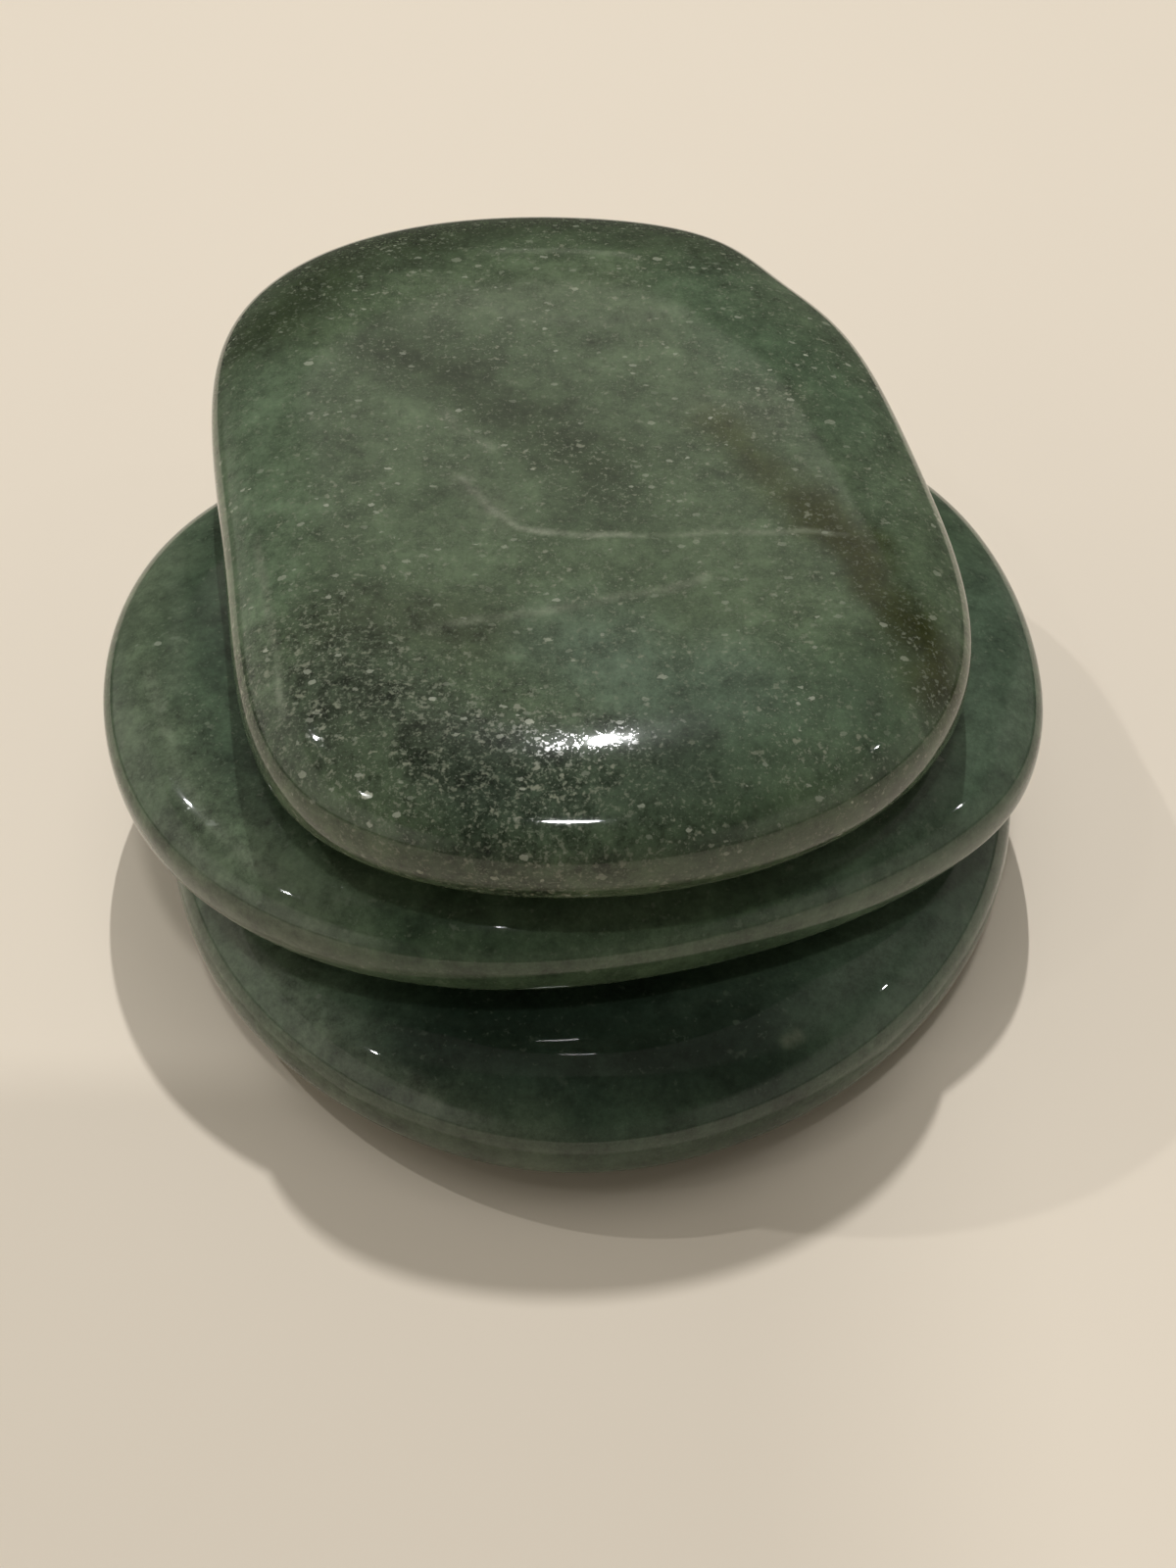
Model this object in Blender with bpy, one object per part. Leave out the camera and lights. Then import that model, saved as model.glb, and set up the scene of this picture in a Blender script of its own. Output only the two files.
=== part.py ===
"""Pile of three polished massage stones, loose on each other. Metres, +Z up.

The origin is the middle of the lowest stone's underside, +X runs to the right and +Y to the back.
Each stone is a flat pebble: two flat faces, a full rounded shoulder and a narrow upright girdle.
"""
import math

import bmesh
import bpy
from mathutils import Matrix, Vector

COLLECTION_NAME = "massage_stone_pile"

# Clearance that a loose stone keeps to the one below it
STONE_GAP = 0.0003

# Lowest stone, a broad egg shape
BOTTOM_WIDTH = 0.0922
BOTTOM_LENGTH = 0.0975
BOTTOM_THICKNESS = 0.015
BOTTOM_SHOULDER = 0.017
BOTTOM_GIRDLE = 0.0015
BOTTOM_COLOUR = (0.055, 0.095, 0.065, 1.0)

# Middle stone, lying across the pile with its long side from left to right
MIDDLE_WIDTH = 0.0995
MIDDLE_LENGTH = 0.082
MIDDLE_THICKNESS = 0.0125
MIDDLE_SHOULDER = 0.015
MIDDLE_GIRDLE = 0.0015
MIDDLE_PLACE_X = -0.0022
MIDDLE_PLACE_Y = 0.0038
MIDDLE_COLOUR = (0.060, 0.115, 0.070, 1.0)

# Top stone, a rounded rectangle lying front to back and turned a little
TOP_WIDTH = 0.075
TOP_LENGTH = 0.0993
TOP_THICKNESS = 0.0145
TOP_SHOULDER = 0.017
TOP_GIRDLE = 0.0015
TOP_PLACE_X = -0.0018
TOP_PLACE_Y = 0.0131
TOP_TURN = math.radians(8)
TOP_COLOUR = (0.075, 0.120, 0.085, 1.0)

# Outline posts, drawn across and along each stone. A smooth closed curve is drawn in by the
# posts, and is then stretched to the stone's own width and length.
BOTTOM_POSTS = ((-49.5, 6), (-41.5, -32), (-5, -55), (32, -39), (49.5, -6), (42, 32), (5, 55), (-33, 39))
MIDDLE_POSTS = ((-52, 20), (-49, -24), (-17, -44), (18, -38), (40, -26), (52, -11), (47, 28), (18, 44),
                (-20, 39))
TOP_POSTS = ((-40, 37), (-35, -5), (-38, -42), (6, -54), (39.5, -36), (37.5, 0), (36, 23), (29, 33),
             (25, 42.5), (11, 49), (-16, 52))

# The shoulder is a quarter of a superellipse: 2 is an ellipse, more is squarer
SHOULDER_SQUARENESS = 2.3
SHOULDER_STEPS = 6
OUTLINE_STEPS = 6

POLISH_ROUGHNESS = 0.12
STONE_IOR = 1.54


def clear_scene():
    """Remove the objects that are already in the scene."""
    for thing in list(bpy.data.objects):
        bpy.data.objects.remove(thing, do_unlink=True)


def new_collection(name):
    """Add a collection for the stones to the scene."""
    collection = bpy.data.collections.new(name)
    bpy.context.scene.collection.children.link(collection)
    return collection


def polished_stone(name, colour):
    """Material of one stone."""
    material = bpy.data.materials.new(name)
    material.use_nodes = True
    shader = material.node_tree.nodes["Principled BSDF"]
    shader.inputs["Base Color"].default_value = colour
    shader.inputs["Roughness"].default_value = POLISH_ROUGHNESS
    shader.inputs["Metallic"].default_value = 0.0
    shader.inputs["IOR"].default_value = STONE_IOR
    return material


def outline_mesh(name, posts):
    """Closed ring of edges along the smooth curve that the posts draw in."""
    curve = bpy.data.curves.new(name, "CURVE")
    curve.dimensions = "2D"
    curve.fill_mode = "NONE"
    curve.resolution_u = OUTLINE_STEPS
    curve.render_resolution_u = 0
    spline = curve.splines.new("NURBS")
    spline.points.add(len(posts) - 1)
    for point, (across, along) in zip(spline.points, posts):
        point.co = (across, along, 0.0, 1.0)
    spline.order_u = 4
    spline.use_cyclic_u = True

    guide = bpy.data.objects.new(name, curve)
    bpy.context.scene.collection.objects.link(guide)
    evaluated = guide.evaluated_get(bpy.context.evaluated_depsgraph_get())
    mesh = bpy.data.meshes.new_from_object(evaluated)
    bpy.data.objects.remove(guide, do_unlink=True)
    bpy.data.curves.remove(curve)
    return mesh


def stretch_to_size(bm, width, length):
    """Centre the outline on the origin and stretch it to the stone's width and length."""
    across = [vert.co.x for vert in bm.verts]
    along = [vert.co.y for vert in bm.verts]
    middle = Vector(((min(across) + max(across)) / 2, (min(along) + max(along)) / 2, 0.0))
    bmesh.ops.translate(bm, vec=-middle, verts=bm.verts)
    stretch = Vector((width / (max(across) - min(across)), length / (max(along) - min(along)), 1.0))
    bmesh.ops.scale(bm, vec=stretch, verts=bm.verts)


def round_shoulder(bm, face, shoulder, rise):
    """Step a face in by the shoulder and out by the rise, along a quarter of a superellipse."""
    power = 2 / SHOULDER_SQUARENESS
    inset_before = 0.0
    rise_before = 0.0
    for step in range(1, SHOULDER_STEPS + 1):
        angle = math.pi / 2 * step / SHOULDER_STEPS
        inset_now = shoulder * (1 - max(math.cos(angle), 0.0) ** power)
        rise_now = rise * math.sin(angle) ** power
        bmesh.ops.inset_region(bm, faces=[face], thickness=inset_now - inset_before,
                               depth=rise_now - rise_before, use_even_offset=True)
        inset_before = inset_now
        rise_before = rise_now


def stone_mesh(name, posts, width, length, thickness, shoulder, girdle):
    """Closed pebble whose underside lies at zero height."""
    mesh = outline_mesh(name, posts)
    bm = bmesh.new()
    bm.from_mesh(mesh)
    stretch_to_size(bm, width, length)
    bmesh.ops.contextual_create(bm, geom=bm.edges[:])
    lower = bm.faces[:][0]
    raised = bmesh.ops.extrude_face_region(bm, geom=[lower], use_keep_orig=True)["geom"]
    bmesh.ops.translate(bm, vec=(0.0, 0.0, girdle), verts=[part for part in raised
                                                           if isinstance(part, bmesh.types.BMVert)])
    upper = next(part for part in raised if isinstance(part, bmesh.types.BMFace))
    bmesh.ops.recalc_face_normals(bm, faces=bm.faces[:])

    rise = (thickness - girdle) / 2
    round_shoulder(bm, upper, shoulder, rise)
    round_shoulder(bm, lower, shoulder, rise)
    bmesh.ops.transform(bm, matrix=Matrix.Translation((0.0, 0.0, rise)), verts=bm.verts)
    bm.to_mesh(mesh)
    bm.free()
    mesh.shade_smooth()
    return mesh


def add_stone(collection, pile, name, mesh, colour, place, turn=0.0):
    """Put one stone in the pile, with its origin at the middle of its underside."""
    mesh.materials.append(polished_stone(name, colour))
    stone = bpy.data.objects.new(name, mesh)
    collection.objects.link(stone)
    stone.parent = pile
    stone.location = place
    stone.rotation_euler = (0.0, 0.0, turn)


def build():
    """Stack the three stones from the floor up."""
    clear_scene()
    collection = new_collection(COLLECTION_NAME)
    pile = bpy.data.objects.new("pile_origin", None)
    collection.objects.link(pile)

    add_stone(collection, pile, "bottom_stone",
              stone_mesh("bottom_stone", BOTTOM_POSTS, BOTTOM_WIDTH, BOTTOM_LENGTH,
                         BOTTOM_THICKNESS, BOTTOM_SHOULDER, BOTTOM_GIRDLE),
              BOTTOM_COLOUR, (0.0, 0.0, 0.0))

    middle_height = BOTTOM_THICKNESS + STONE_GAP
    add_stone(collection, pile, "middle_stone",
              stone_mesh("middle_stone", MIDDLE_POSTS, MIDDLE_WIDTH, MIDDLE_LENGTH,
                         MIDDLE_THICKNESS, MIDDLE_SHOULDER, MIDDLE_GIRDLE),
              MIDDLE_COLOUR, (MIDDLE_PLACE_X, MIDDLE_PLACE_Y, middle_height))

    top_height = middle_height + MIDDLE_THICKNESS + STONE_GAP
    add_stone(collection, pile, "top_stone",
              stone_mesh("top_stone", TOP_POSTS, TOP_WIDTH, TOP_LENGTH,
                         TOP_THICKNESS, TOP_SHOULDER, TOP_GIRDLE),
              TOP_COLOUR, (TOP_PLACE_X, TOP_PLACE_Y, top_height), TOP_TURN)


build()
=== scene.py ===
"""Looks of the pile of polished massage stones, on a plain pale table in soft studio light."""
import math

import bmesh
import bpy
from mathutils import Matrix, Vector, noise


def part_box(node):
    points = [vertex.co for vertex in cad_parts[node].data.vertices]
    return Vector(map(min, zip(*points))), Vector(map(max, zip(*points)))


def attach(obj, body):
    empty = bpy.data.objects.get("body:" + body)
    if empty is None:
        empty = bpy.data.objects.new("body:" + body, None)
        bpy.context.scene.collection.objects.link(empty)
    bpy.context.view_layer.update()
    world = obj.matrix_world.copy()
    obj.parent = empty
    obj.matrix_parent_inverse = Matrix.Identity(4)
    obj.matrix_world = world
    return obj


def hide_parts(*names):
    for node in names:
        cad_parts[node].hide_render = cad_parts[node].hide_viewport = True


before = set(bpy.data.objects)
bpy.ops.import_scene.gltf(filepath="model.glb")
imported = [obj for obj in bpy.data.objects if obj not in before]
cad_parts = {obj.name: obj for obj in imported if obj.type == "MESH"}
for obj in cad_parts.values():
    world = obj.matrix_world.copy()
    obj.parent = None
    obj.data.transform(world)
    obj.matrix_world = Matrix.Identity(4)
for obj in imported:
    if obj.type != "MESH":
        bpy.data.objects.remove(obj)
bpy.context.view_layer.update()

MM = 0.001

# Shape of the rounded shoulders: how far in from the rim each one ends, and how square it is
SHOULDERS = {"bottom_stone": 17 * MM, "middle_stone": 15 * MM, "top_stone": 17 * MM}
SHOULDER_SQUARENESS = 2.3
SHOULDER_STEPS = 10
# Share of the shoulder over which the rings keep an even distance to the rim
EVEN_SHARE = 0.5
RING_START = 0.05 * MM
FACE_STEPS = (4 * MM, 5 * MM, 6 * MM)

# Hand-ground faces are never quite flat: shallow hollows, cut inwards only
HOLLOW_DEPTH = 0.22 * MM
HOLLOW_LENGTH = 32 * MM
SMOOTHING_LEVELS = 2

# Points of the CAD solid closer than this are one point, or lie at one height
MERGE_DISTANCE = 0.001 * MM
SAME_HEIGHT = 0.01 * MM

# Looks of the stones, in millimetres in the row frame. Clouds run between two colours. A patch or
# vein has a colour, a strength, a width and the points that it runs through; some patches are
# painted shade and painted light, marked where they stand. A crowd is where the grain and flakes
# stand out most: strength, width and points. Flakes have a colour, a strength, a length and the
# level above which they show; flecks a colour, a strength, a spacing, a size, the share that shows,
# a turn in degrees and a stretch.
STONE_LOOKS = {
    "top_stone": {
        "clouds": ((0.060, 0.086, 0.047), (0.087, 0.121, 0.068), 20.0),
        "patches": (
            ((0.022, 0.035, 0.015), 0.80, 9.0, ((-21, 33), (-14, 27), (-8, 20), (0, 13))),
            ((0.036, 0.046, 0.023), 0.70, 8.0, ((-26, -9), (-11, -11))),
            ((0.100, 0.142, 0.086), 0.70, 11.0, ((-36, 26), (-35, 12), (-34, -4))),
            # Lighter far end of the top face: partly painted sheen, partly the stone's own colour
            ((0.104, 0.136, 0.080), 0.60, 10.0, ((-16, 41), (-7, 42), (6, 41))),
            ((0.088, 0.122, 0.074), 0.55, 7.0, ((27, 17), (29, 9))),
            ((0.096, 0.134, 0.092), 0.85, 11.0, ((-1, -13), (7, -20), (12, -18))),
            ((0.062, 0.098, 0.056), 0.70, 11.0, ((12, 43), (20, 30), (26, 23))),
            ((0.044, 0.074, 0.044), 0.60, 13.0, ((12, -24), (24, -20))),
            ((0.030, 0.041, 0.025), 0.80, 14.0, ((-25, -17), (-18, -22), (-9, -29))),
            ((0.028, 0.042, 0.027), 0.75, 11.0, ((-9, -30), (0, -30), (8, -29))),
            ((0.018, 0.030, 0.010), 0.90, 12.0, ((-36, 38), (-29, 50), (-17, 57), (0, 60), (14, 56))),
            ((0.105, 0.120, 0.080), 0.35, 7.0, ((14, 21), (19, 22))),
            ((0.038, 0.046, 0.013), 0.75, 5.5, ((13, 19), (16, 14.7), (18.4, 10.2), (22, 5.7), (26, 1.4))),
            ((0.022, 0.027, 0.004), 1.00, 5.5,
             ((22, 5.7), (25.7, 1.4), (28, -4.2), (30.7, -8.3), (33, -15))),
        ),
        "veins": (
            ((0.135, 0.155, 0.105), 0.45, 3.2, ((-13.3, 10.6), (-11.4, 7.9), (-8.8, 4.3))),
            ((0.200, 0.220, 0.160), 0.85, 0.8,
             ((-13.3, 10.6), (-10.4, 6.2), (-7.3, 3.3), (-3.4, 2.3), (3.4, 2.1))),
            ((0.180, 0.200, 0.142), 0.50, 0.7, ((3.4, 2.1), (11.2, 2.3), (21.0, 3.0), (25.3, 2.5))),
            ((0.170, 0.190, 0.135), 0.50, 1.1, ((-15.5, -10.9), (-7.1, -8.9), (6.2, -5.8), (11, -4.2))),
            ((0.150, 0.170, 0.120), 0.45, 1.4, ((-15.4, 21), (-13.7, 17.8), (-10.6, 15.5))),
            ((0.120, 0.140, 0.098), 0.25, 1.6, ((-17, 43.8), (-9, 37.6), (-0.5, 35.9), (10, 38))),
            ((0.160, 0.180, 0.130), 0.55, 0.8, ((-33.7, 3.9), (-32.2, -4), (-30, -14), (-28.9, -20.5))),
        ),
        "crowd": (1.0, 16.0, ((-28, -14), (-18, -21), (-6, -31))),
        "flakes": (
            ((0.150, 0.175, 0.122), 0.60, 0.38, 0.58),
            ((0.175, 0.192, 0.138), 0.70, 0.60, 0.59),
            ((0.210, 0.225, 0.162), 0.80, 0.95, 0.62),
        ),
        "flecks": (
            ((0.300, 0.320, 0.250), 0.90, 1.10, 0.27, 0.55, 70.0, 1.7),
            ((0.380, 0.400, 0.310), 0.90, 3.20, 0.42, 0.60, 10.0, 1.5),
        ),
        "grain": 2.6,
    },
    "middle_stone": {
        "clouds": ((0.044, 0.072, 0.040), (0.066, 0.098, 0.057), 16.0),
        "patches": (
            ((0.098, 0.124, 0.078), 0.60, 8.0, ((-48, 14), (-46, -6), (-38, -22), (-26, -32))),
            # Darker band on the middle stone beside the top stone's left edge: painted shade of the top
            # stone
            ((0.032, 0.056, 0.033), 0.75, 10.0, ((-38, 16), (-37, 0), (-32, -12), (-22, -21))),
            ((0.074, 0.112, 0.074), 0.60, 12.0, ((44, 10), (38, -14), (24, -26))),
        ),
        "veins": (
            ((0.140, 0.165, 0.115), 0.45, 1.2, ((-46.3, -0.9), (-42, -14), (-38, -21), (-31, -28))),
            ((0.125, 0.150, 0.105), 0.40, 1.5, ((-43, -20), (-36, -28), (-26, -33.5))),
            ((0.100, 0.125, 0.085), 0.35, 2.0, ((-47, 20), (-44, 8), (-43, -4))),
            ((0.105, 0.135, 0.095), 0.35, 1.6, ((44, 16), (46, 4), (42, -10))),
        ),
        "crowd": (0.5, 14.0, ((-42, -4), (-34, -22))),
        "flakes": (
            ((0.125, 0.155, 0.105), 0.65, 0.60, 0.61),
            ((0.140, 0.170, 0.118), 0.55, 1.40, 0.63),
        ),
        "flecks": (
            ((0.190, 0.220, 0.165), 0.60, 2.00, 0.28, 0.35, -40.0, 1.9),
            ((0.270, 0.300, 0.230), 0.65, 4.50, 0.36, 0.40, 80.0, 1.5),
        ),
        "grain": 2.2,
    },
    "bottom_stone": {
        "clouds": ((0.042, 0.070, 0.044), (0.066, 0.100, 0.064), 17.0),
        "patches": (
            # Pale band along the bottom stone's left-front rim: its pale veins, brightened as painted
            # light from the left
            ((0.118, 0.154, 0.100), 0.60, 7.0, ((-44, -10), (-36, -28), (-22, -42), (-6, -48))),
            # Dark band on the bottom stone's front, under the middle stone's overhang: painted shade
            ((0.015, 0.028, 0.018), 0.90, 14.0, ((-14, -38), (14, -38))),
            ((0.080, 0.116, 0.078), 0.45, 11.0, ((26, -36), (34, -26))),
        ),
        "veins": (
            ((0.135, 0.160, 0.115), 0.45, 1.3, ((-40, -18), (-34, -28), (-25.5, -37.6), (-14.6, -44.2))),
            ((0.110, 0.135, 0.095), 0.40, 1.8, ((-30, -36), (-20, -43), (-8, -47.5))),
            ((0.170, 0.190, 0.130), 0.50, 1.3, ((19, -38.4), (19.8, -37.9))),
        ),
        "crowd": (0.4, 12.0, ((-36, -26), (-20, -42))),
        "flakes": (
            ((0.105, 0.135, 0.095), 0.50, 0.70, 0.62),
            ((0.110, 0.140, 0.100), 0.50, 1.80, 0.64),
        ),
        "flecks": (
            ((0.170, 0.200, 0.150), 0.50, 2.20, 0.28, 0.30, -40.0, 1.9),
            ((0.230, 0.260, 0.200), 0.60, 4.80, 0.36, 0.35, 80.0, 1.5),
        ),
        "grain": 2.2,
    },
}

# How places are moved about before marks are drawn on them: length of the lumps, and reach
LUMPY_SHAKES = ((3.0, 0.8), (10.0, 3.5))
WAVY_SHAKES = ((7.0, 0.8), (1.5, 0.15))
JAGGED_SHAKES = ((0.45, 0.25),)

# Noise has a length, a detail and a roughness, and levels are the stretch of it that is used
NOISE_MIDDLE = 0.5
CLOUD_DETAIL = 5.0
CLOUD_ROUGHNESS = 0.6
CLOUD_LEVELS = (0.36, 0.64)
BREAK_NOISE = (3.0, 3.0, 0.6)
BREAK_LEVELS = (0.30, 0.60)
BREAK_LEAST = 0.25
GRAIN_NOISE = (4.0, 5.0, 0.85)
GRAIN_LEAST = 0.3
THICK_NOISE = (9.0, 2.0, 0.5)
THICK_LEVELS = (0.35, 0.65)
THICK_LEAST = 0.45
THICK_CROWD = 0.4
FLAKE_DETAIL = 2.0
FLAKE_RAGGEDNESS = 0.6
FLAKE_SOFT = 0.12
FLAKE_LIFT = 0.03
FLECK_SOFT = 0.04
FLECK_LEAST_WIDTH = 0.3
FLECK_LEAST_STRENGTH = 0.25

# Polish: roughness, ripples and pits, a faint haze over it and a glow from inside
POLISH_ROUGHNESS = 0.02
DULL_ROUGHNESS = 0.05
DULL_NOISE = (6.0, 3.0, 0.5)
DULL_LEVELS = (0.4, 0.65)
FLAKE_ROUGHNESS = 0.12
RIPPLE_LENGTH = 1.8
RIPPLE_DETAIL = 1.0
RIPPLE_HEIGHT = 0.0012 * MM
PIT_DEPTH = 0.0006 * MM
HAZE_SHARE = 0.025
HAZE_ROUGHNESS = 0.2
GLOW_SHARE = 0.5
GLOW_REACH = 2 * MM

# Camera of the photograph, in the row frame
CAMERA_PLACE = Vector((-0.5, -163.64, 195.41)) * MM
CAMERA_PITCH = math.radians(49)
CAMERA_LENS = 51.75
CAMERA_SENSOR = 36.0
CAMERA_CLIP = 0.01

# Table, which ends behind the pile: left, right, front and back edge, and finish
TABLE_EDGES = (-1.2, 1.2, -1.2, 0.18)
TABLE_DROP = 0.1 * MM
TABLE_COLOUR = (0.800, 0.708, 0.590, 1.0)
TABLE_SHADE = 0.985
TABLE_CLOUD_LENGTH = 60.0
TABLE_ROUGHNESS = 0.55
TABLE_GLOSS = 0.25

# Room and lamps
BACKDROP_COLOUR = (0.80, 0.72, 0.60, 1.0)
ROOM_COLOUR = (1.0, 0.95, 0.82)
AMBIENT = 0.14
# Soft panels of the room: brightness, then height from, to and soft edges below and above, and turn
# from, to and soft edge. Heights and turns are in degrees, a turn from straight behind to the right.
# Less than no brightness is a dark part of the room.
ROOM_PANELS = (
    (0.11, 37.5, 58.0, 2.0, 8.0, -110.0, 60.0, 30.0),
    (0.41, 36.7, 39.5, 1.5, 8.0, -16.0, 20.0, 10.0),
    (0.06, 56.0, 64.0, 8.0, 10.0, -10.0, 80.0, 15.0),
    (0.28, 6.0, 34.0, 6.0, 12.0, 60.0, 140.0, 20.0),
    (0.55, 6.0, 34.0, 6.0, 8.0, -140.0, -60.0, 20.0),
    (-0.11, 50.0, 90.0, 30.0, 1.0, -181.0, -110.0, 15.0),
    (-0.11, 50.0, 90.0, 30.0, 1.0, 110.0, 181.0, 15.0),
    (0.30, 39.5, 41.0, 1.0, 1.0, -135.0, -60.0, 8.0),
    (0.40, 27.0, 28.5, 1.0, 1.0, -3.0, 2.0, 1.5),
)
AIM = Vector((0.0, 0.01, 0.03))
LAMP_DISTANCE = 2.0
# Turn, height, width, depth and power in watts
LAMPS = {
    "main_lamp": (1.9, 60.0, 0.016, 0.10, 17.6),
    "left_lamp": (-63.0, 48.6, 0.025, 0.045, 4.8),
    "left_front_lamp": (-108.0, 55.0, 0.03, 0.04, 0.6),
    "right_lamp": (90.0, 44.5, 0.03, 0.04, 0.35),
    "front_lamp": (180.0, 76.0, 0.22, 0.05, 5.6),
    "fill_lamp": (0.0, 90.0, 1.6, 1.6, 5.4),
}
# Flag between the front lamp and the front of the pile: left, right, front and back edge, and height
FLAG_EDGES = (-0.065, 0.025, -0.18, -0.092)
FLAG_HEIGHT = 0.26
FLAG_COLOUR = (0.02, 0.02, 0.02, 1.0)
FLAG_ROUGHNESS = 0.8

# Places of the colours among the sockets of a mix node
MIX_FIRST = 6
MIX_SECOND = 7
MIX_RESULT = 2


class Graph:
    """A node tree, with short calls for the nodes that the script needs."""

    def __init__(self, tree):
        self.nodes = tree.nodes
        self.links = tree.links

    def put(self, socket, value):
        """Set a socket, or link it to another node's output."""
        if isinstance(value, bpy.types.NodeSocket):
            self.links.new(value, socket)
        else:
            socket.default_value = value

    def vector(self, operation, first, second=(0.0, 0.0, 0.0), scale=1.0):
        """Vector sum, difference, scaling and the like."""
        node = self.nodes.new("ShaderNodeVectorMath")
        node.operation = operation
        self.put(node.inputs[0], first)
        if operation == "SCALE":
            self.put(node.inputs["Scale"], scale)
        elif operation != "LENGTH":
            self.put(node.inputs[1], second)
        return node.outputs["Value" if operation in ("LENGTH", "DOT_PRODUCT") else "Vector"]

    def maths(self, operation, first, second=0.0, clamp=False):
        """Sum, product and the like of two numbers."""
        node = self.nodes.new("ShaderNodeMath")
        node.operation = operation
        node.use_clamp = clamp
        self.put(node.inputs[0], first)
        self.put(node.inputs[1], second)
        return node.outputs["Value"]

    def between(self, value, low, high, to_low=0.0, to_high=1.0):
        """Smooth step from to_low at low to to_high at high."""
        node = self.nodes.new("ShaderNodeMapRange")
        node.interpolation_type = "SMOOTHSTEP"
        self.put(node.inputs["Value"], value)
        limits = {"From Min": low, "From Max": high, "To Min": to_low, "To Max": to_high}
        for name, number in limits.items():
            self.put(node.inputs[name], number)
        return node.outputs["Result"]

    def window(self, value, low, high, soft_low, soft_high):
        """One from low to high in degrees, falling to zero over the soft widths outside."""
        low, high, soft_low, soft_high = (math.radians(part) for part in (low, high, soft_low, soft_high))
        rise = self.between(value, low - soft_low, low)
        return self.maths("MULTIPLY", rise, self.between(value, high, high + soft_high, 1.0, 0.0))

    def mix(self, share, first, second):
        """Colour between first and second."""
        node = self.nodes.new("ShaderNodeMix")
        node.data_type = "RGBA"
        self.put(node.inputs["Factor"], share)
        for place, colour in ((MIX_FIRST, first), (MIX_SECOND, second)):
            if isinstance(colour, tuple) and len(colour) == 3:
                colour = (*colour, 1.0)
            self.put(node.inputs[place], colour)
        return node.outputs[MIX_RESULT]


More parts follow.
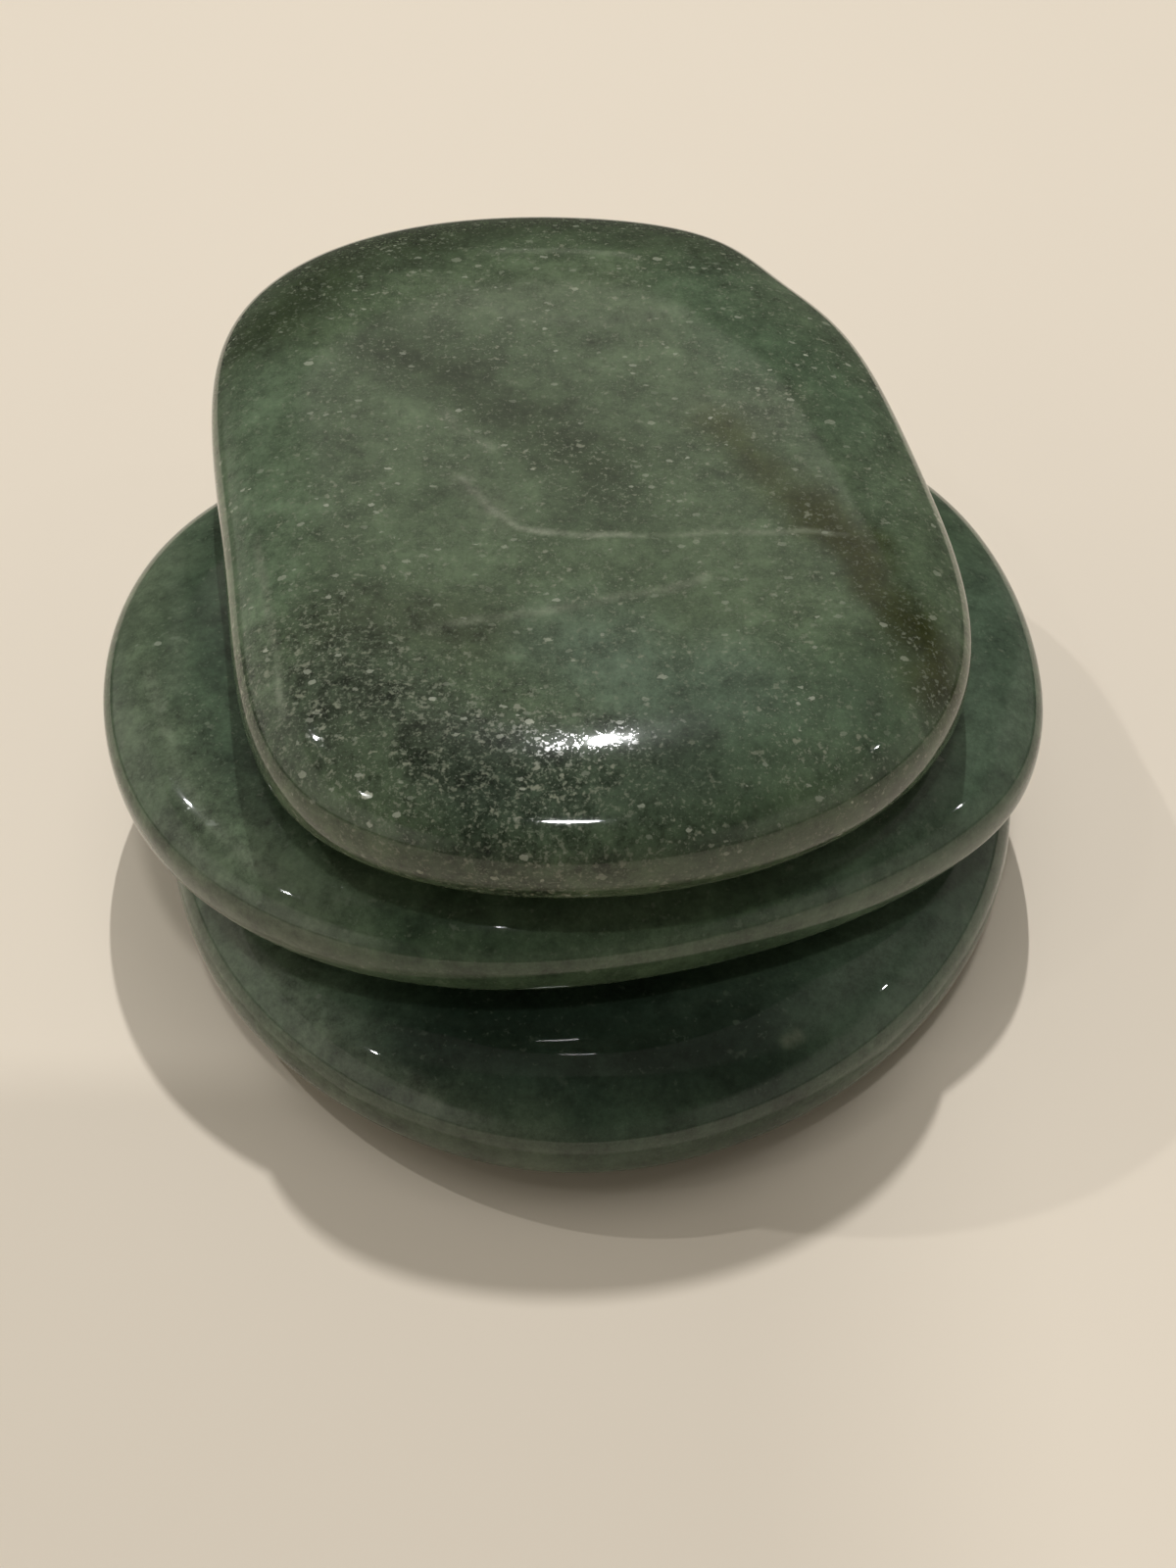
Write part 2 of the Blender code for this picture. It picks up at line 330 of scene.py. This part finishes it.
class Paint(Graph):
    """Nodes of one material, drawn in millimetres in the object's own coordinates."""

    def __init__(self, name):
        self.material = bpy.data.materials.new(name)
        self.material.use_nodes = True
        super().__init__(self.material.node_tree)
        self.shader = self.nodes["Principled BSDF"]
        coordinates = self.nodes.new("ShaderNodeTexCoord")
        self.place = self.vector("SCALE", coordinates.outputs["Object"], scale=1 / MM)

    def clouds(self, length, detail=2.0, roughness=0.5, place=None, colour=False):
        """Noise whose lumps are about length millimetres long."""
        node = self.nodes.new("ShaderNodeTexNoise")
        self.put(node.inputs["Vector"], place or self.place)
        node.inputs["Scale"].default_value = 1 / length
        node.inputs["Detail"].default_value = detail
        node.inputs["Roughness"].default_value = roughness
        return node.outputs["Color" if colour else "Fac"]

    def shaken(self, shakes, place):
        """Places moved about by each reach in turn, in lumps of its length, in millimetres."""
        for length, reach in shakes:
            lumps = self.clouds(length, colour=True, place=place)
            shake = self.vector("SUBTRACT", lumps, (NOISE_MIDDLE, NOISE_MIDDLE, NOISE_MIDDLE))
            place = self.vector("ADD", place, self.vector("SCALE", shake, scale=2 * reach))
        return place

    def turned(self, turn, stretch, place):
        """Places turned about two axes, and drawn together along one, which lengthens what is on them."""
        node = self.nodes.new("ShaderNodeMapping")
        self.put(node.inputs["Vector"], place)
        node.inputs["Rotation"].default_value = (math.radians(turn / 2), 0.0, math.radians(turn))
        node.inputs["Scale"].default_value = (1 / stretch, 1.0, 1.0)
        return node.outputs["Vector"]

    def flecks(self, spacing, size, share, place):
        """Small grains: one in each cell of the spacing, of which a share shows."""
        cells = self.nodes.new("ShaderNodeTexVoronoi")
        self.put(cells.inputs["Vector"], place)
        cells.inputs["Scale"].default_value = 1 / spacing
        chance = self.nodes.new("ShaderNodeSeparateColor")
        self.put(chance.inputs["Color"], cells.outputs["Color"])
        shown = self.maths("LESS_THAN", chance.outputs["Red"], share)
        width = self.maths("ADD", chance.outputs["Green"], FLECK_LEAST_WIDTH)
        width = self.maths("MULTIPLY", width, size / spacing / (1 + FLECK_LEAST_WIDTH))
        soft = FLECK_SOFT / spacing
        outside = self.maths("SUBTRACT", cells.outputs["Distance"], width)
        grain = self.between(outside, -soft, soft, 1.0, 0.0)
        strength = self.maths("MULTIPLY", chance.outputs["Blue"], 1 - FLECK_LEAST_STRENGTH)
        strength = self.maths("ADD", strength, FLECK_LEAST_STRENGTH)
        return self.maths("MULTIPLY", self.maths("MULTIPLY", grain, shown), strength)

    def streak(self, points, width, place):
        """One on a line through the points, falling to zero at the width."""
        nearest = None
        for start, end in zip(points, points[1:]):
            start = Vector((*start, 0.0))
            run = Vector((*end, 0.0)) - start
            off = self.vector("SUBTRACT", place, start)
            reached = self.vector("DOT_PRODUCT", off, run)
            share = self.maths("DIVIDE", reached, run.length_squared, clamp=True)
            along = self.vector("SCALE", run, scale=share)
            distance = self.vector("LENGTH", self.vector("SUBTRACT", off, along))
            nearest = distance if nearest is None else self.maths("MINIMUM", nearest, distance)
        return self.between(nearest, 0.0, width, 1.0, 0.0)

    def bump(self, height, distance, normal=None):
        """Normal of a surface that stands out by the distance where the height is one."""
        node = self.nodes.new("ShaderNodeBump")
        node.inputs["Distance"].default_value = distance
        self.put(node.inputs["Height"], height)
        if normal:
            self.put(node.inputs["Normal"], normal)
        return node.outputs["Normal"]

    def polish(self, colour, marks):
        """Glossy ground stone: faint haze and ripples, duller clouds, and little pits at the marks."""
        self.put(self.shader.inputs["Base Color"], colour)
        dull = self.between(self.clouds(*DULL_NOISE), *DULL_LEVELS, POLISH_ROUGHNESS, DULL_ROUGHNESS)
        dull = self.maths("ADD", dull, self.maths("MULTIPLY", marks, FLAKE_ROUGHNESS - POLISH_ROUGHNESS))
        self.put(self.shader.inputs["Roughness"], dull)
        ripples = self.bump(self.clouds(RIPPLE_LENGTH, RIPPLE_DETAIL), RIPPLE_HEIGHT)
        self.put(self.shader.inputs["Normal"], self.bump(marks, -PIT_DEPTH, ripples))
        self.shader.inputs["Coat Weight"].default_value = HAZE_SHARE
        self.shader.inputs["Coat Roughness"].default_value = HAZE_ROUGHNESS
        self.shader.inputs["Subsurface Weight"].default_value = GLOW_SHARE
        self.shader.inputs["Subsurface Radius"].default_value = (1.0, 1.0, 1.0)
        self.shader.inputs["Subsurface Scale"].default_value = GLOW_REACH
        return self.material


def stone_paint(name):
    """Clouded stone with patches, veins and mica flecks; some patches are painted shade and painted light.
    """
    look = STONE_LOOKS[name]
    paint = Paint(name + "_paint")
    flat = paint.vector("MULTIPLY", paint.place, (1.0, 1.0, 0.0))
    lumpy = paint.shaken(LUMPY_SHAKES, flat)
    wavy = paint.shaken(WAVY_SHAKES, flat)
    jagged = paint.shaken(JAGGED_SHAKES, paint.place)

    dark, light, length = look["clouds"]
    clouds = paint.between(paint.clouds(length, CLOUD_DETAIL, CLOUD_ROUGHNESS), *CLOUD_LEVELS)
    colour = paint.mix(clouds, dark, light)
    for tint, strength, width, points in look["patches"]:
        share = paint.maths("MULTIPLY", paint.streak(points, width, lumpy), strength)
        colour = paint.mix(share, colour, tint)
    broken = paint.between(paint.clouds(*BREAK_NOISE), *BREAK_LEVELS, BREAK_LEAST, 1.0)
    for tint, strength, width, points in look["veins"]:
        share = paint.maths("MULTIPLY", paint.streak(points, width, wavy), strength)
        colour = paint.mix(paint.maths("MULTIPLY", share, broken), colour, tint)

    crowd_strength, crowd_width, crowd_points = look["crowd"]
    crowd = paint.maths("MULTIPLY", paint.streak(crowd_points, crowd_width, lumpy), crowd_strength)
    grain = paint.maths("SUBTRACT", paint.clouds(*GRAIN_NOISE), NOISE_MIDDLE)
    gain = paint.maths("MULTIPLY", paint.maths("ADD", crowd, 1.0), look["grain"])
    lightness = paint.maths("ADD", paint.maths("MULTIPLY", grain, gain), 1.0)
    colour = paint.vector("SCALE", colour, scale=paint.maths("MAXIMUM", lightness, GRAIN_LEAST))

    specks = []
    for tint, strength, length, level in look["flakes"]:
        lift = paint.maths("MULTIPLY", crowd, FLAKE_LIFT)
        flakes = paint.maths("ADD", paint.clouds(length, FLAKE_DETAIL, FLAKE_RAGGEDNESS), lift)
        specks.append((tint, strength, paint.between(flakes, level, level + FLAKE_SOFT)))
    for tint, strength, spacing, size, share, turn, stretch in look["flecks"]:
        flecks = paint.flecks(spacing, size, share, paint.turned(turn, stretch, jagged))
        specks.append((tint, strength, flecks))

    thick = paint.between(paint.clouds(*THICK_NOISE), *THICK_LEVELS, THICK_LEAST, 1.0)
    thick = paint.maths("ADD", thick, paint.maths("MULTIPLY", crowd, THICK_CROWD))
    marks = 0.0
    for tint, strength, shown in specks:
        amount = paint.maths("MULTIPLY", paint.maths("MULTIPLY", shown, strength), thick, clamp=True)
        colour = paint.mix(amount, colour, tint)
        marks = paint.maths("MAXIMUM", amount, marks)
    return paint.polish(colour, marks)


def girdle_ring(name, middle):
    """Points round the stone's widest line in the CAD solid, and the height of its upright girdle."""
    bm = bmesh.new()
    bm.from_mesh(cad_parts[name].data)
    bmesh.ops.remove_doubles(bm, verts=bm.verts[:], dist=MERGE_DISTANCE)
    above = [vert.co.copy() for vert in bm.verts if vert.co.z > middle.z]
    bm.free()
    edge = min(point.z for point in above)
    ring = [point for point in above if point.z < edge + SAME_HEIGHT]
    ring.sort(key=lambda point: math.atan2(point.y - middle.y, point.x - middle.x))
    return ring, 2 * (edge - middle.z)


def draw_in(bm, face, inset_step, rise_step):
    """Ring a face and draw it together towards its middle by the inset, without crossing corners."""
    bmesh.ops.inset_region(bm, faces=[face], thickness=RING_START, depth=rise_step, use_even_offset=True)
    across = [vert.co.x for vert in face.verts]
    along = [vert.co.y for vert in face.verts]
    shrink = Vector((1 - 2 * inset_step / (max(across) - min(across)),
                     1 - 2 * inset_step / (max(along) - min(along)), 1.0))
    centre = Matrix.Translation(-face.calc_center_bounds())
    bmesh.ops.scale(bm, vec=shrink, space=centre, verts=face.verts[:])


def round_shoulder(bm, face, shoulder, rise):
    """Step a face in by the shoulder and out by the rise, then ring its flat part."""
    power = 2 / SHOULDER_SQUARENESS
    inset_before = 0.0
    rise_before = 0.0
    for step in range(1, SHOULDER_STEPS + 1):
        angle = math.pi / 2 * step / SHOULDER_STEPS
        inset_now = shoulder * (1 - max(math.cos(angle), 0.0) ** power)
        rise_now = rise * math.sin(angle) ** power
        inset_step = inset_now - inset_before
        rise_step = rise_now - rise_before
        if inset_now < EVEN_SHARE * shoulder:
            bmesh.ops.inset_region(bm, faces=[face], thickness=inset_step, depth=rise_step,
                                   use_even_offset=True)
        else:
            draw_in(bm, face, inset_step, rise_step)
        inset_before = inset_now
        rise_before = rise_now
    for face_step in FACE_STEPS:
        draw_in(bm, face, face_step, 0.0)


def hollow(bm, low, high):
    """Press the upper shoulders and face in a little, in slow waves."""
    middle = (low.z + high.z) / 2
    for vert in bm.verts:
        height = max(0.0, (vert.co.z - middle) / (high.z - middle))
        wave = 0.5 + 0.5 * noise.noise(vert.co / HOLLOW_LENGTH)
        vert.co -= vert.normal * HOLLOW_DEPTH * wave * height


def add_stone(name):
    """Smooth stone in the place of the CAD node of that name."""
    low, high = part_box(name)
    ring, girdle = girdle_ring(name, (low + high) / 2)
    bm = bmesh.new()
    lower = bm.faces.new([bm.verts.new(point - Vector((0.0, 0.0, girdle))) for point in ring])
    raised = bmesh.ops.extrude_face_region(bm, geom=[lower], use_keep_orig=True)["geom"]
    bmesh.ops.translate(bm, vec=(0.0, 0.0, girdle), verts=[part for part in raised
                                                           if isinstance(part, bmesh.types.BMVert)])
    upper = next(part for part in raised if isinstance(part, bmesh.types.BMFace))
    bmesh.ops.recalc_face_normals(bm, faces=bm.faces[:])
    rise = (high.z - low.z - girdle) / 2
    round_shoulder(bm, upper, SHOULDERS[name], rise)
    round_shoulder(bm, lower, SHOULDERS[name], rise)
    bm.normal_update()
    hollow(bm, low, high)

    mesh = bpy.data.meshes.new(name + "_polished")
    bm.to_mesh(mesh)
    bm.free()
    mesh.shade_smooth()
    mesh.materials.append(stone_paint(name))
    stone = bpy.data.objects.new(name + "_polished", mesh)
    bpy.context.scene.collection.objects.link(stone)
    smooth = stone.modifiers.new("smooth", "SUBSURF")
    smooth.levels = SMOOTHING_LEVELS
    smooth.render_levels = SMOOTHING_LEVELS
    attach(stone, name)
    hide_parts(name)


def add_sheet(name, edges, height, material):
    """Level flat sheet of the stage, between its left, right, front and back edge."""
    left, right, front, back = edges
    bm = bmesh.new()
    bmesh.ops.create_grid(bm, x_segments=1, y_segments=1, size=0.5)
    bmesh.ops.scale(bm, vec=(right - left, back - front, 1.0), verts=bm.verts[:])
    mesh = bpy.data.meshes.new(name)
    bm.to_mesh(mesh)
    bm.free()
    mesh.materials.append(material)
    sheet = bpy.data.objects.new(name, mesh)
    sheet.location = ((left + right) / 2, (front + back) / 2, height)
    bpy.context.scene.collection.objects.link(sheet)
    return sheet


def add_table():
    """Plain pale satin table top under the pile."""
    paint = Paint("table_paint")
    darker = tuple(TABLE_SHADE * part for part in TABLE_COLOUR[:3])
    colour = paint.mix(paint.clouds(TABLE_CLOUD_LENGTH), TABLE_COLOUR, darker)
    paint.put(paint.shader.inputs["Base Color"], colour)
    paint.shader.inputs["Roughness"].default_value = TABLE_ROUGHNESS
    paint.shader.inputs["Specular IOR Level"].default_value = TABLE_GLOSS
    add_sheet("table", TABLE_EDGES, -TABLE_DROP, paint.material)


def add_flag():
    """Dark card above the camera that shades the front of the pile and table from the front lamp."""
    paint = Paint("flag_paint")
    paint.shader.inputs["Base Color"].default_value = FLAG_COLOUR
    paint.shader.inputs["Roughness"].default_value = FLAG_ROUGHNESS
    flag = add_sheet("flag", FLAG_EDGES, FLAG_HEIGHT, paint.material)
    flag.visible_camera = False
    return flag


def add_lamp(name, turn, height, width, depth, power):
    """Oval lamp at a turn from straight behind towards the right, and a height in degrees."""
    light = bpy.data.lights.new(name, "AREA")
    light.shape = "ELLIPSE"
    light.size = width
    light.size_y = depth
    light.energy = power
    turn = math.radians(turn)
    height = math.radians(height)
    towards = Vector((math.sin(turn) * math.cos(height),
                      math.cos(turn) * math.cos(height),
                      math.sin(height)))
    lamp = bpy.data.objects.new(name, light)
    lamp.location = AIM + towards * LAMP_DISTANCE
    lamp.rotation_euler = (math.pi / 2 - height, 0.0, math.pi - turn)
    bpy.context.scene.collection.objects.link(lamp)
    return lamp


def add_lamps(flag):
    """All lamps. The flag shades the front lamp alone, and the fill lamp stays out of the reflections."""
    clear_of_flag = bpy.data.collections.new("clear_of_flag")
    clear_of_flag.objects.link(flag)
    clear_of_flag.collection_objects[0].light_linking.link_state = "EXCLUDE"
    lamps = {name: add_lamp(name, *values) for name, values in LAMPS.items()}
    lamps["fill_lamp"].visible_glossy = False
    for name, lamp in lamps.items():
        if name != "front_lamp":
            lamp.light_linking.blocker_collection = clear_of_flag


def add_world():
    """Dim room with soft pale panels, pale all over where the camera sees it."""
    world = bpy.data.worlds.new("studio")
    world.use_nodes = True
    bpy.context.scene.world = world
    graph = Graph(world.node_tree)
    direction = graph.nodes.new("ShaderNodeSeparateXYZ")
    graph.put(direction.inputs[0], graph.nodes.new("ShaderNodeTexCoord").outputs["Generated"])
    height = graph.maths("ARCSINE", direction.outputs["Z"])
    turn = graph.maths("ARCTAN2", direction.outputs["X"], direction.outputs["Y"])
    level = AMBIENT
    for brightness, low, high, soft_low, soft_high, left, right, soft_turn in ROOM_PANELS:
        upright = graph.window(height, low, high, soft_low, soft_high)
        across = graph.window(turn, left, right, soft_turn, soft_turn)
        panel = graph.maths("MULTIPLY", graph.maths("MULTIPLY", upright, across), brightness)
        level = graph.maths("ADD", panel, level)
    colour = graph.vector("SCALE", ROOM_COLOUR, scale=level)
    seen = graph.nodes.new("ShaderNodeLightPath")
    colour = graph.mix(seen.outputs["Is Camera Ray"], colour, BACKDROP_COLOUR)
    graph.put(graph.nodes["Background"].inputs["Color"], colour)


def add_camera():
    """The photograph's view: from the front, looking down on the pile."""
    data = bpy.data.cameras.new("camera")
    data.lens = CAMERA_LENS
    data.sensor_width = CAMERA_SENSOR
    data.clip_start = CAMERA_CLIP
    data.dof.use_dof = False
    camera = bpy.data.objects.new("camera", data)
    camera.location = CAMERA_PLACE
    camera.rotation_euler = (math.pi / 2 - CAMERA_PITCH, 0.0, 0.0)
    bpy.context.scene.collection.objects.link(camera)
    bpy.context.scene.camera = camera


for stone_name in STONE_LOOKS:
    add_stone(stone_name)
add_table()
add_lamps(add_flag())
add_world()
add_camera()
bpy.context.scene.view_settings.view_transform = "Standard"
